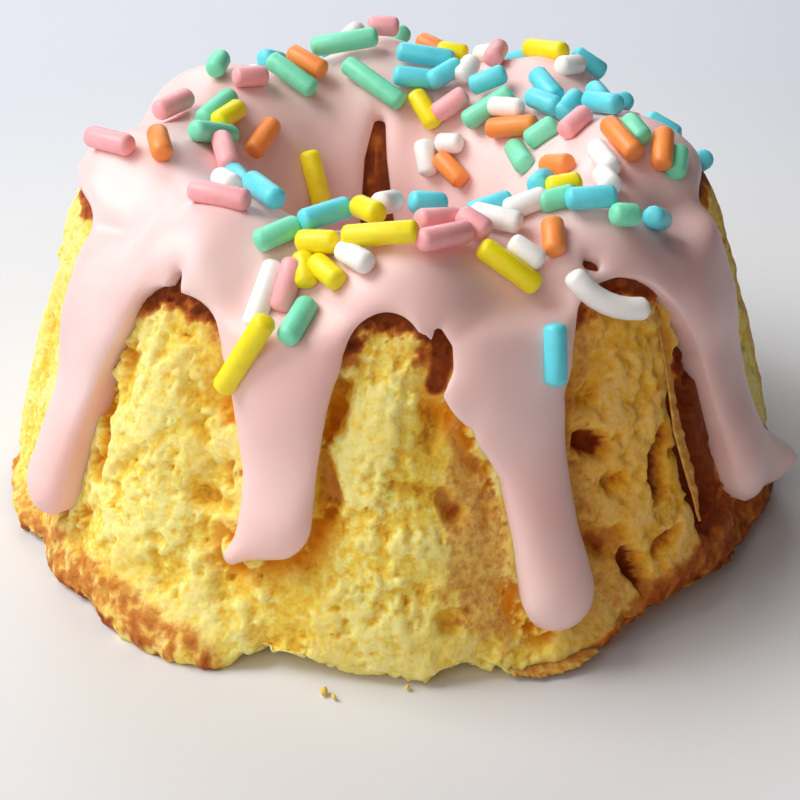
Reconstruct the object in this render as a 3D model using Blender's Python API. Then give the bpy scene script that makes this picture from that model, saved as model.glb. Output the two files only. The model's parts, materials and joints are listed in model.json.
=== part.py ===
"""A small fluted ring cake with poured icing, modelled the way it is made.

The sponge is one turned ring. Its tin presses eight ribs into the outer wall, and the tin's
chimney leaves the hole through the middle. It is baked crown down and turned out on to its
cut face, so the base is flat, with a browned rim that crinkles a little.

The icing is a second closed shell, a little clear of the sponge. It covers the crown, goes
some way down the hole, leaves an arch open at the top of each rib, and runs down the
grooves between the ribs as drips.

Units are metres, +Z is up, and the origin is the middle of the flat base. Angles are
measured round +Z from the front, which is -Y, towards +X.
"""

import math

import bmesh
import bpy
import numpy as np

# --- driving dimensions -----------------------------------------------------------------
BASE_RADIUS = 0.0350        # over the ribs, just above the base
SPONGE_HEIGHT = 0.0331      # base to crest, without icing
RIB_COUNT = 8
RIB_TURN = math.radians(3)  # how far the front rib is turned towards +X
FLUTE_DEPTH = 0.0027        # rib crest to groove, square to the wall, where it is deepest
RIM_HEIGHT = 0.0060         # how far up the crinkles of the browned rim reach
RIM_CRINKLE = 0.00035

ICING_GAP = 0.00045         # clear space between the sponge and the icing's underside
ICING_CROWN = 0.0010        # icing thickness on the crown
ICING_DRIP = 0.0017         # icing thickness in the drips

# The wall on a rib's crest, from the base's outer edge over the crest and down the hole:
# each point is a share of the base radius and a share of the height.
WALL = (
    (0.985, 0.00), (1.000, 0.05), (0.969, 0.24), (0.903, 0.51), (0.846, 0.72),
    (0.789, 0.87), (0.703, 0.97), (0.614, 1.00), (0.514, 0.98), (0.406, 0.91),
    (0.320, 0.78), (0.263, 0.58), (0.234, 0.36), (0.216, 0.12), (0.214, 0.00),
)
# How deep the flutes are along the wall: share of the way to the crest, share of the depth.
FLUTE_FADE = ((0.0, 0.25), (0.4, 0.85), (0.75, 1.0), (1.0, 0.4), (1.4, 0.0))

# Each drip: the angle of its middle, half its width at the tip, and its tip's height.
DRIPS = (
    (-59, 6.5, 0.0065), (-16, 5.5, 0.0100), (23, 5.0, 0.0045), (63, 8.0, 0.0065),
    (114, 6.0, 0.0120), (159, 5.0, 0.0060), (204, 7.0, 0.0090), (252, 5.5, 0.0045),
)
ARCH_HEIGHT = 0.0303        # how far up each rib the icing leaves the sponge bare
SHOULDER_HEIGHT = 0.0322    # everything above this, outside the crest, is iced all round
THROAT_HEIGHT = 0.0170      # how far down the hole the icing reaches
DRIP_FLARE = math.radians(10)   # the width over which a drip widens into its arches

SPONGE_COLUMNS = 80
SPONGE_ROWS = 22
ICING_COLUMNS = 112
CROWN_ROWS = 8
DRIP_ROWS = 5

SPONGE_COLOUR = (0.72, 0.45, 0.11)
ICING_COLOUR = (0.83, 0.62, 0.60)


# --- the wall, as one smooth path -------------------------------------------------------
def smooth_path(points, steps):
    """Points on a Catmull-Rom curve that passes through every given point."""
    points = np.array(points)
    ends = np.vstack([2 * points[0] - points[1], points, 2 * points[-1] - points[-2]])
    path = []
    for p0, p1, p2, p3 in zip(ends, ends[1:], ends[2:], ends[3:]):
        for t in np.linspace(0, 1, steps, endpoint=False):
            path.append(0.5 * (2 * p1 + (p2 - p0) * t + (2 * p0 - 5 * p1 + 4 * p2 - p3) * t**2
                               + (3 * p1 - p0 - 3 * p2 + p3) * t**3))
    return np.array(path + [points[-1]])


PATH = smooth_path([(r * BASE_RADIUS, z * SPONGE_HEIGHT) for r, z in WALL], 40)
ALONG = np.concatenate([[0], np.cumsum(np.linalg.norm(np.diff(PATH, axis=0), axis=1))])
CREST = float(ALONG[PATH[:, 1].argmax()])   # distance along the wall to its highest point


def outer_along(height):
    """Distance along the wall of the point at this height, outside the crest."""
    outside = ALONG <= CREST
    return float(np.interp(height, PATH[outside, 1], ALONG[outside]))


def inner_along(height):
    """Distance along the wall of the point at this height, inside the hole."""
    inside = ALONG >= CREST
    return float(np.interp(-height, -PATH[inside, 1], ALONG[inside]))


def groove(angle):
    """0 on the crest of a rib, 1 at the bottom of a groove."""
    return 0.5 - 0.5 * math.cos(RIB_COUNT * (angle - RIB_TURN))


def rim_crinkle(angle, along):
    """The browned rim's small waves, which die out up the wall."""
    waves = math.sin(5 * angle + 1) + 0.7 * math.sin(13 * angle) + 0.4 * math.sin(19 * angle + 2)
    return RIM_CRINKLE * waves * max(0.0, 1 - along / RIM_HEIGHT)


def skin_point(angle, along, lift=0.0):
    """The point at this angle and distance along the wall, lifted square to the wall."""
    step = 0.0001
    r0, r1 = np.interp([along - step, along + step], ALONG, PATH[:, 0])
    z0, z1 = np.interp([along - step, along + step], ALONG, PATH[:, 1])
    length = math.hypot(r1 - r0, z1 - z0)
    fade = np.interp(along / CREST, *zip(*FLUTE_FADE))
    out = lift - FLUTE_DEPTH * fade * groove(angle) + rim_crinkle(angle, along)
    r = (r0 + r1) / 2 + out * (z1 - z0) / length
    z = (z0 + z1) / 2 - out * (r1 - r0) / length
    on_base = along <= 0 or along >= ALONG[-1]
    return (r * math.sin(angle), -r * math.cos(angle), 0.0 if on_base else z)


# --- shared making ----------------------------------------------------------------------
def spun(section, columns):
    """Spin a closed section right round, and return the bmesh.

    The section is a list of (r, z, a, b). The last two numbers ride along in two layers, so
    that each vertex still knows its place in the section when the ring is shaped."""
    bm = bmesh.new()
    layer_a = bm.verts.layers.float.new("a")
    layer_b = bm.verts.layers.float.new("b")
    corners = []
    for r, z, a, b in section:
        corner = bm.verts.new((0.0, -r, z))
        corner[layer_a], corner[layer_b] = a, b
        corners.append(corner)
    edges = [bm.edges.new((corners[i - 1], corners[i])) for i in range(len(corners))]
    bmesh.ops.spin(bm, geom=corners + edges, cent=(0, 0, 0), axis=(0, 0, 1),
                   angle=2 * math.pi, steps=columns, use_merge=True)
    return bm, layer_a, layer_b


def angle_of(vertex):
    """The vertex's angle round +Z from the front, towards +X."""
    return math.atan2(vertex.co.x, -vertex.co.y)


def finished(bm, name, material):
    """Close the bmesh into an object with this name and material."""
    bmesh.ops.recalc_face_normals(bm, faces=bm.faces)
    mesh = bpy.data.meshes.new(name)
    bm.to_mesh(mesh)
    bm.free()
    mesh.materials.append(material)
    mesh.shade_smooth()
    made = bpy.data.objects.new(name, mesh)
    bpy.context.collection.objects.link(made)
    return made


def principled(name, colour, roughness):
    """A plain food material."""
    material = bpy.data.materials.new(name)
    material.use_nodes = True
    shader = material.node_tree.nodes["Principled BSDF"]
    shader.inputs["Base Color"].default_value = (*colour, 1.0)
    shader.inputs["Roughness"].default_value = roughness
    shader.inputs["Metallic"].default_value = 0.0
    return material


# --- the sponge -------------------------------------------------------------------------
def make_sponge():
    """The fluted ring: its wall and the flat base that closes it."""
    rows = np.linspace(0, ALONG[-1], SPONGE_ROWS + 1)
    wall_r = np.interp(rows, ALONG, PATH[:, 0])
    wall_z = np.interp(rows, ALONG, PATH[:, 1])
    section = [(r, z, along, 1.0) for r, z, along in zip(wall_r, wall_z, rows)]
    middle = (PATH[0, 0] + PATH[-1, 0]) / 2
    section.append((middle, 0.0, 0.0, 0.0))     # the base's middle stays where it is

    bm, along_layer, on_wall = spun(section, SPONGE_COLUMNS)
    for vertex in bm.verts:
        if vertex[on_wall] > 0.5:
            vertex.co = skin_point(angle_of(vertex), vertex[along_layer])
    return finished(bm, "cake", principled("sponge", SPONGE_COLOUR, 0.9))


# --- the icing --------------------------------------------------------------------------
def smoothstep(value):
    """0 below 0, 1 above 1, and a smooth rise between."""
    value = min(max(value, 0.0), 1.0)
    return value * value * (3 - 2 * value)


def icing_edge(angle):
    """How far up the wall the icing ends at this angle, and how much of a drip is there."""
    edge, share = outer_along(ARCH_HEIGHT), 0.0
    for middle, half_width, tip_height in DRIPS:
        turn = math.remainder(angle - math.radians(middle), 2 * math.pi)
        bare = smoothstep((abs(turn) - math.radians(half_width)) / DRIP_FLARE)
        tip = outer_along(tip_height)
        edge = min(edge, tip + (outer_along(ARCH_HEIGHT) - tip) * bare)
        share = max(share, 1 - bare)
    return edge, share


def icing_point(angle, across, skin):
    """A point of the icing: across runs 0 to 1 from the edge in the hole to the shoulder and
    1 to 2 from there to the outer edge; skin is 1 on the top face and 0 underneath."""
    edge, drip = icing_edge(angle)
    shoulder, throat = outer_along(SHOULDER_HEIGHT), inner_along(THROAT_HEIGHT)
    if across <= 1:
        along = throat + (shoulder - throat) * across
        thickness = ICING_CROWN
    else:
        along = shoulder + (edge - shoulder) * (across - 1)
        thickness = ICING_CROWN + (ICING_DRIP - ICING_CROWN) * drip * (across - 1)
    return skin_point(angle, along, ICING_GAP + thickness * skin)


def make_icing():
    """The poured shell: a top face and an underside that meet in rounded edges."""
    across = np.concatenate([np.linspace(0, 1, CROWN_ROWS, endpoint=False),
                             np.linspace(1, 2, DRIP_ROWS + 1)])
    top = [(place, 1.0) for place in across[1:-1]]
    under = [(place, 0.0) for place in across[1:-1]]
    edge_skin = 0.45                            # the edge bulges out half way up its thickness
    places = [(across[0], edge_skin)] + top + [(across[-1], edge_skin)] + under[::-1]

    section = []
    for place, skin in places:
        x, y, z = icing_point(RIB_TURN, place, skin)
        section.append((math.hypot(x, y), z, place, skin))
    bm, across_layer, skin_layer = spun(section, ICING_COLUMNS)
    for vertex in bm.verts:
        vertex.co = icing_point(angle_of(vertex), vertex[across_layer], vertex[skin_layer])
    return finished(bm, "icing", principled("poured_icing", ICING_COLOUR, 0.35))


for old in list(bpy.data.objects):
    bpy.data.objects.remove(old)

for made in (make_sponge(), make_icing()):
    low = [min(v.co[i] for v in made.data.vertices) * 1000 for i in range(3)]
    high = [max(v.co[i] for v in made.data.vertices) * 1000 for i in range(3)]
    print(made.name, "mm", [round(n, 2) for n in low], [round(n, 2) for n in high],
          "triangles", sum(len(p.vertices) - 2 for p in made.data.polygons))
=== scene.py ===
# %% [markdown]
# # A small fluted ring cake, iced and sprinkled
#
# This lesson dresses a plain model of a ring cake. The plain model, the frame, has two
# solids: `cake`, the fluted sponge, and `icing`, the poured icing. Both are the right size
# but smooth. Here each is replaced by a piece with the real surface: torn, open crumb with a
# browned crust, and thick icing that has run and set. The sugar rods and loose crumbs are
# added on top.
#
# Everything is worked out in millimetres, because that is how a baker sees it, and is turned
# into Blender's metres when a mesh is finished. Angles go round +Z from the front, which is
# -Y, towards +X.

# %% The frame
import json
import math
import random

import bmesh
import bpy
import numpy as np
from mathutils import Matrix, Vector, noise

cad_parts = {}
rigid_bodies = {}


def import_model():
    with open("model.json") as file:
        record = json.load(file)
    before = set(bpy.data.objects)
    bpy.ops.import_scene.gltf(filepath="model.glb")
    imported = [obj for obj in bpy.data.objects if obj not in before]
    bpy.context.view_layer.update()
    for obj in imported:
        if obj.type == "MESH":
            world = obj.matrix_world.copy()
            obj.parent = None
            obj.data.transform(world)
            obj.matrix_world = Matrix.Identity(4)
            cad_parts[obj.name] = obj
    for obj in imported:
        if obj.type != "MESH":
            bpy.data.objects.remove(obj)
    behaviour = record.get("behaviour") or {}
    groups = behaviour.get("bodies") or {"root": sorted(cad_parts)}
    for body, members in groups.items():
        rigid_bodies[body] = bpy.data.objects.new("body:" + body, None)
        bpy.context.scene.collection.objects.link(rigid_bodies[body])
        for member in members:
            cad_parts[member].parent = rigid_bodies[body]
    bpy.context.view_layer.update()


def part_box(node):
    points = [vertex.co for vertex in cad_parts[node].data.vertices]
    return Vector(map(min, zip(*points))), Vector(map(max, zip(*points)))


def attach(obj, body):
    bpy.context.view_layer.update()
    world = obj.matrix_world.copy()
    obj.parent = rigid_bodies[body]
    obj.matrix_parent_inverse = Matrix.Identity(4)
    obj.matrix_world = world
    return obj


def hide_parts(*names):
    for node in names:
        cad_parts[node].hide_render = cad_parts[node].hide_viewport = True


for old in list(bpy.data.objects):
    bpy.data.objects.remove(old)
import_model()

MM = 0.001                      # one millimetre in metres
cake_low, cake_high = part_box("cake")
SPONGE_HEIGHT = (cake_high[2] - cake_low[2]) / MM
BASE_RADIUS = 35.0              # over the ribs
print("sponge height %.1f mm, radius %.1f mm" % (SPONGE_HEIGHT, BASE_RADIUS))

# %% [markdown]
# ## The camera
#
# The cake is seen from a little above, through a long lens from some way off, so the ribs at
# the front are only a little larger than those at the back. It could be placed by
# eye. Here it is placed by its angle above the table and its distance from a point low in
# the middle of the cake, so that each can be changed alone.

# %% Camera
CAMERA_RISE = math.radians(29.5)
CAMERA_DISTANCE = 215.0
CAMERA_TARGET = (0.9, 0.0, 7.4)
LENS = 104.6                    # mm, on a sensor 36 mm wide

camera_data = bpy.data.cameras.new("camera")
camera_data.lens = LENS
camera_data.sensor_width = 36.0
camera = bpy.data.objects.new("camera", camera_data)
bpy.context.collection.objects.link(camera)
back = Vector((0.0, -math.cos(CAMERA_RISE), math.sin(CAMERA_RISE)))
camera.location = (Vector(CAMERA_TARGET) + back * CAMERA_DISTANCE) * MM
camera.rotation_euler = (math.pi / 2 - CAMERA_RISE, 0.0, 0.0)
bpy.context.scene.camera = camera
bpy.context.scene.view_settings.view_transform = "Standard"
print("camera at", [round(c, 3) for c in camera.location])

# %% [markdown]
# ## Colours and nodes
#
# Colours are written as sRGB hex values, as a paint program shows them, but a shader counts
# light, so one function turns them linear. A second small function adds a node, sets its
# values and links its inputs, which keeps each material short enough to read.


# %% Helpers for materials
def linear(hex_colour):
    """A hex colour such as "F2E0DC" as linear red, green, blue and alpha."""
    parts = [int(hex_colour[i:i + 2], 16) / 255 for i in (0, 2, 4)]
    parts = [c / 12.92 if c <= 0.04045 else ((c + 0.055) / 1.055) ** 2.4 for c in parts]
    return (*parts, 1.0)


def add_node(tree, kind, links=None, **settings):
    """Add a node. Settings are its properties; links map an input to a value or a socket."""
    node = tree.nodes.new("ShaderNode" + kind)
    for name, value in settings.items():
        setattr(node, name, value)
    for name, value in (links or {}).items():
        if isinstance(value, bpy.types.NodeSocket):
            tree.links.new(value, node.inputs[name])
        else:
            node.inputs[name].default_value = value
    return node


def new_material(name):
    """An empty node material, and its tree."""
    material = bpy.data.materials.new(name)
    material.use_nodes = True
    material.node_tree.nodes.clear()
    print("material", name)
    return material, material.node_tree


def shade(tree, links):
    """Put a principled shader with these inputs on the material's output."""
    shader = add_node(tree, "BsdfPrincipled", links)
    add_node(tree, "OutputMaterial", {"Surface": shader.outputs[0]})


def ramp(tree, factor, stops):
    """A colour ramp with a stop for each (place, hex colour)."""
    node = add_node(tree, "ValToRGB", {"Fac": factor})
    while len(node.color_ramp.elements) < len(stops):
        node.color_ramp.elements.new(0.5)
    for element, (place, colour) in zip(node.color_ramp.elements, stops):
        element.position = place
        element.color = linear(colour)
    return node.outputs[0]


def finish_mesh(bm, name, material):
    """Turn a bmesh in millimetres into a smooth object in metres that rides with the cake."""
    bmesh.ops.scale(bm, vec=(MM, MM, MM), verts=bm.verts)
    mesh = bpy.data.meshes.new(name)
    bm.to_mesh(mesh)
    bm.free()
    mesh.shade_smooth()
    mesh.materials.append(material)
    made = bpy.data.objects.new(name, mesh)
    bpy.context.collection.objects.link(made)
    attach(made, "root")
    print(name, "triangles", sum(len(p.vertices) - 2 for p in mesh.polygons))
    return made


# %% [markdown]
# ## The wall that everything follows
#
# Cake, icing and sprinkles all follow one wall: up the outside, over the crest and down the
# hole. It is a smooth curve through a few points, each a share of the radius and of the
# height, and a place on the cake is then just an angle and a distance along the wall. The
# flutes are a cosine wave round the ring that presses the wall in between the ribs.

# %% The wall
RIB_COUNT = 8
RIB_TURN = math.radians(3)
FLUTE_DEPTH = 2.7
WALL = (
    (0.985, 0.00), (1.000, 0.05), (0.969, 0.24), (0.903, 0.51), (0.846, 0.72),
    (0.789, 0.87), (0.703, 0.97), (0.614, 1.00), (0.514, 0.98), (0.406, 0.91),
    (0.320, 0.78), (0.263, 0.58), (0.234, 0.36), (0.216, 0.12), (0.214, 0.00),
)
FLUTE_FADE = ((0.0, 0.25), (0.4, 0.85), (0.75, 1.0), (1.0, 0.4), (1.4, 0.0))


def smooth_path(points, steps):
    """Points on a Catmull-Rom curve that passes through every given point."""
    points = np.array(points)
    ends = np.vstack([2 * points[0] - points[1], points, 2 * points[-1] - points[-2]])
    path = []
    for p0, p1, p2, p3 in zip(ends, ends[1:], ends[2:], ends[3:]):
        for t in np.linspace(0, 1, steps, endpoint=False):
            path.append(0.5 * (2 * p1 + (p2 - p0) * t + (2 * p0 - 5 * p1 + 4 * p2 - p3) * t**2
                               + (3 * p1 - p0 - 3 * p2 + p3) * t**3))
    return np.array(path + [points[-1]])


PATH = smooth_path([(r * BASE_RADIUS, z * SPONGE_HEIGHT) for r, z in WALL], 40)
ALONG = np.concatenate([[0], np.cumsum(np.linalg.norm(np.diff(PATH, axis=0), axis=1))])
CREST = float(ALONG[PATH[:, 1].argmax()])
WALL_END = float(ALONG[-1])
# The flutes' depth is spread by a soft window, so that no crease shows where it changes.
EVEN = np.arange(0, WALL_END, 0.25)
WINDOW = np.hanning(25) / np.hanning(25).sum()
FADE = np.convolve(np.pad(np.interp(EVEN / CREST, *zip(*FLUTE_FADE)), 12, mode="edge"),
                   WINDOW, mode="valid")


def groove(angle):
    """0 on the crest of a rib, 1 at the bottom of a groove."""
    return 0.5 - 0.5 * np.cos(RIB_COUNT * (angle - RIB_TURN))


def wall(along, step=0.4):
    """The rib line's radius, height and outward direction at a distance along the wall."""
    r = np.interp(along, ALONG, PATH[:, 0])
    z = np.interp(along, ALONG, PATH[:, 1])
    dr = np.interp(along + step, ALONG, PATH[:, 0]) - np.interp(along - step, ALONG, PATH[:, 0])
    dz = np.interp(along + step, ALONG, PATH[:, 1]) - np.interp(along - step, ALONG, PATH[:, 1])
    length = np.hypot(dr, dz)
    return r, z, dz / length, -dr / length


def on_skin(angle, along, lift, flute=1.0):
    """Points at these angles and distances along the wall, lifted square to it, in mm."""
    r, z, out_r, out_z = wall(along)
    out = lift - flute * FLUTE_DEPTH * np.interp(along, EVEN, FADE) * groove(angle)
    r, z = r + out * out_r, z + out * out_z
    return np.stack([r * np.sin(angle), -r * np.cos(angle), z], axis=-1)


print("wall %.1f mm long, crest at %.1f mm" % (WALL_END, CREST))

# %% [markdown]
# ## Random relief
#
# Baked crumb is never regular. Two kinds of noise make it: smooth waves, for lumps and for
# the ragged patches where the crust tore away, and cells, for the round pores that bubbles
# leave. Both are read from the point in space, so the relief has the same grain everywhere
# and no seam.


# %% Noise
def smoothstep(value, low=0.0, high=1.0):
    """0 below low, 1 above high, and a smooth rise between."""
    t = np.clip((value - low) / (high - low), 0.0, 1.0)
    return t * t * (3 - 2 * t)


def facing(angle, degrees, low, high):
    """1 on the side of the cake at this many degrees, 0 away from it. Low and high are the
    cosines of the turns at which it starts and is full."""
    return smoothstep(np.cos(angle - math.radians(degrees)), low, high)


def waves(points, size, octaves=1, shift=0.0, smoothness=1.0):
    """Smooth random heights, about -1 to 1, in lumps about this many millimetres across."""
    offset = Vector((shift, 2.0 * shift, -shift))
    return np.array([noise.fractal(Vector(p) / size + offset, smoothness, 2.0, octaves)
                     for p in points.tolist()])


def pores(points, spacing, largest, share, shift=0.0):
    """Round pits, 0 outside to 1 at their middle: a share of the cells has one each, of a
    random radius up to the largest, in millimetres."""
    offset = Vector((shift, -shift, 3.0 * shift))
    near, seeds = [], []
    for p in points.tolist():
        distances, centres = noise.voronoi(Vector(p) / spacing + offset)
        near.append(distances[0])
        seeds.append(centres[0])
    # From each cell's centre, a number from 0 to 1 that looks random.
    chance = np.abs(np.sin(np.array([tuple(s) for s in seeds]) @ (12.99, 78.23, 37.72)))
    chance = np.modf(chance * 4375.85)[0]
    radius = largest * np.clip(chance / share, 0.35, 1.0) / spacing
    pit = np.clip(1 - (np.array(near) / radius) ** 2, 0, 1)
    return np.where(chance < share, pit, 0.0)


# %% [markdown]
# ## Where the icing lies
#
# Poured icing covers the crown and runs down the grooves, where it meets least resistance.
# Its outline is worked out flat, as if the wall were unrolled: a coat with an edge high on
# the ribs, and a chain of round blobs for each drip, melted together. The result is a
# distance in to the edge, which is positive under the icing. The thickness then follows
# from it, as a drop's does: steep at the edge and level in the middle.
#
# Each drip is a few blobs: angle in degrees, distance along the wall, half width and
# thickness, in millimetres, from the shoulder down to the tip.

# %% Drips
DRIPS = {
    "left": ((-57, 34, 7.2, 1.4), (-59, 28, 6.4, 1.7), (-60.5, 22, 5.0, 2.2),
             (-60.5, 15, 3.7, 2.5), (-60.5, 9.8, 3.6, 2.8)),
    "middle": ((-18.5, 34, 7.0, 1.3), (-18, 28, 5.3, 1.6), (-17.5, 23, 4.1, 1.9),
               (-16.8, 18, 3.3, 2.2), (-16.6, 14.4, 3.1, 2.5)),
    "middle_toe": ((-17.5, 13.2, 2.0, 2.2), (-20.5, 11.7, 1.25, 1.8), (-23.0, 10.4, 0.75, 1.5)),
    "long": ((19.5, 33.5, 8.0, 1.3), (19.8, 27, 6.2, 1.6), (21, 22.5, 4.4, 1.9),
             (22.5, 18, 3.2, 2.2), (23.2, 12.5, 3.0, 2.5), (24, 7.3, 3.3, 3.1)),
    "right": ((63.5, 34, 8.6, 1.5), (68.0, 28, 7.0, 1.8), (70.5, 22, 5.6, 2.0),
              (69.0, 15, 4.6, 2.3), (67.5, 9.2, 3.6, 2.8)),
    "right_spur": ((69, 9.4, 3.4, 2.7), (76, 6.4, 2.6, 3.2), (82, 4.2, 1.3, 3.9),
                   (88, 2.8, 0.4, 4.7)),
    "back_a": ((112, 34, 7.0, 1.2), (113, 26, 4.6, 1.6), (114, 17, 3.0, 2.1),
               (114, 13.5, 3.3, 2.4)),
    "back_b": ((159, 34, 6.6, 1.2), (159, 26, 4.4, 1.5), (158, 17, 2.7, 1.9),
               (159, 9.0, 3.0, 2.5)),
    "back_c": ((205, 34, 7.6, 1.2), (205, 26, 5.6, 1.5), (203, 18, 4.0, 1.9),
               (204, 13, 3.9, 2.3)),
    "back_d": ((251, 34, 6.8, 1.2), (251, 26, 4.6, 1.5), (252, 16, 2.8, 2.0),
               (252, 7.4, 3.0, 2.6)),
}
# Bare spots inside the coat, as blobs of the same kind without a thickness.
BARE = {
    "bay": ((8.0, 30.0, 0.40), (8.8, 28.8, 0.68), (8.7, 27.4, 0.72), (7.6, 25.8, 0.6)),
    "pinhole": ((38.8, 33.2, 0.50), (39.8, 32.8, 0.45)),
    "left_nick": ((-38.8, 32.0, 0.35), (-38.6, 31.0, 0.6)),
    "arch_to_bay": ((5.2, 29.2, 0.8), (7.8, 27.0, 1.0)),
    "slit_in_hole": ((-175.5, 47.4, 0.6), (-173, 50.5, 1.1), (-172, 56.0, 1.7)),
}
DRIP_FILLET = 2.2           # how softly a drip melts into the coat, in mm
THROAT_FILLET = 1.0
BARE_FILLET = 0.25
ARCH_ALONG = 31.4           # where the coat would end on a rib, along the wall
THROAT_ALONG = 57.5         # where it ends down the hole
COAT = 1.15                 # thickness of the coat on the crown
COAT_EDGE = 1.7             # how far in from its edge the coat reaches full thickness
ICING_LIFT = 0.25           # the icing sits this far above the sponge's smooth skin
print(len(DRIPS), "drip shapes and", len(BARE), "bare spots")


def blob_chain(angle, along, radius_here, chain):
    """How far in from the edge of a chain of blobs each place is, with the chain's half
    width and its thickness there."""
    best = np.full(angle.shape, -1e3)
    width = np.ones(angle.shape)
    thick = np.ones(angle.shape)
    for first, second in zip(chain, chain[1:]):
        turn = np.remainder(angle - math.radians(first[0]) + math.pi, 2 * math.pi) - math.pi
        px, py = turn * radius_here, along - first[1]
        qx, qy = math.radians(second[0] - first[0]) * radius_here, second[1] - first[1]
        share = np.clip((px * qx + py * qy) / (qx * qx + qy * qy), 0, 1)
        half = first[2] + (second[2] - first[2]) * share
        inside = half - np.hypot(px - share * qx, py - share * qy)
        closer = inside > best
        best = np.where(closer, inside, best)
        width = np.where(closer, half, width)
        if len(first) > 3:
            thick = np.where(closer, first[3] + (second[3] - first[3]) * share, thick)
    return best, width, thick


def melt(a, b, softness):
    """The larger of two distances, with the corner between them filled by a fillet."""
    mix = np.clip(0.5 + 0.5 * (a - b) / softness, 0, 1)
    return b + (a - b) * mix + softness * mix * (1 - mix), mix


def icing_cover(angle, along):
    """How far in from the icing's edge each place is, in mm, with the width over which the
    icing thickens there and its full thickness."""
    radius_here = wall(along)[0]
    wander = (0.55 * np.sin(3 * angle + 0.6) + 0.45 * np.sin(5 * angle + 2.0)
              + 0.3 * np.sin(13 * angle))
    inside = along - (ARCH_ALONG + 0.5 * wander)
    width = np.full(angle.shape, COAT_EDGE)
    thick = np.full(angle.shape, COAT)
    for chain in DRIPS.values():
        drip, drip_width, drip_thick = blob_chain(angle, along, radius_here, chain)
        inside, mix = melt(drip, inside, DRIP_FILLET)
        on_drip = mix * smoothstep(along, 36.0, 30.0)
        width = width + (drip_width - width) * on_drip
        thick = thick + (drip_thick - thick) * on_drip
    throat = THROAT_ALONG + 1.6 * np.sin(2 * angle + 0.5) + 1.2 * np.sin(5 * angle) - along
    inside = -melt(-inside, -throat, THROAT_FILLET)[0]
    for chain in BARE.values():
        hole = blob_chain(angle, along, radius_here, chain)[0]
        inside = -melt(-inside, hole, BARE_FILLET)[0]
    return inside, np.maximum(width, 0.8), thick


# %% [markdown]
# ## The sponge
#
# The outside of this cake stuck to its tin: most of the crust tore off and left open crumb.
# A voxel sculpt could show that, but spinning a section is lighter and keeps the base flat.
# The section is a closed loop: across the base, up the wall, over the crest and down the
# hole. Its points lie close together only where crumb shows. Each vertex remembers its
# distance along the wall in a layer, so that after the spin the ring is shaped at once.
#
# One ring with crumb this fine would be too heavy for one piece, so it is spun in three
# sectors that meet below drips, where the icing hides the joins. The relief is read from the
# place on the cake, so both sides of a join have the same shape.

# %% Sponge section
CRUMB_STEP = 0.24           # between the rows of the open wall
OPEN_END = 35.5             # the open wall ends here, under the icing's edge
HOLE_START = 53.0           # from here on the rows are closer again, down in the hole
ICED_DROP = 0.25            # where icing covers the sponge, its skin is this much lower
SECTORS = {                 # first and last angle, and the spacing of the columns
    "sponge_front": (-59, 64, 0.26),
    "sponge_right": (64, 204, 0.36),
    "sponge_left": (204, 301, 0.36),
}


def sponge_section():
    """Points (radius, height, distance along the wall, is on the wall) round the section."""
    along = np.concatenate([np.arange(0.0, OPEN_END, CRUMB_STEP),
                            np.arange(OPEN_END, HOLE_START, 1.3),
                            np.arange(HOLE_START, WALL_END, 0.9), [WALL_END]])
    r, z = wall(along)[:2]
    section = [(a, b, c, 1.0) for a, b, c in zip(r, z, along)]
    across = [*np.linspace(PATH[-1, 0], BASE_RADIUS - 4.0, 10)[1:], BASE_RADIUS - 2.6,
              BASE_RADIUS - 1.7]
    return section + [(a, 0.0, 0.0, 0.0) for a in across]


def spin_sector(section, start, end, spacing):
    """Spin a closed section from one angle to another; two layers carry its last numbers."""
    bm = bmesh.new()
    layers = [bm.verts.layers.float.new(name) for name in ("along", "on_wall")]
    corners = []
    for r, z, *carried in section:
        corner = bm.verts.new((r * math.sin(start), -r * math.cos(start), z))
        for layer, value in zip(layers, carried):
            corner[layer] = value
        corners.append(corner)
    edges = [bm.edges.new((corners[i - 1], corners[i])) for i in range(len(corners))]
    bmesh.ops.spin(bm, geom=corners + edges, cent=(0, 0, 0), axis=(0, 0, 1),
                   angle=end - start, steps=round((end - start) * BASE_RADIUS / spacing))
    return bm, layers
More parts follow.
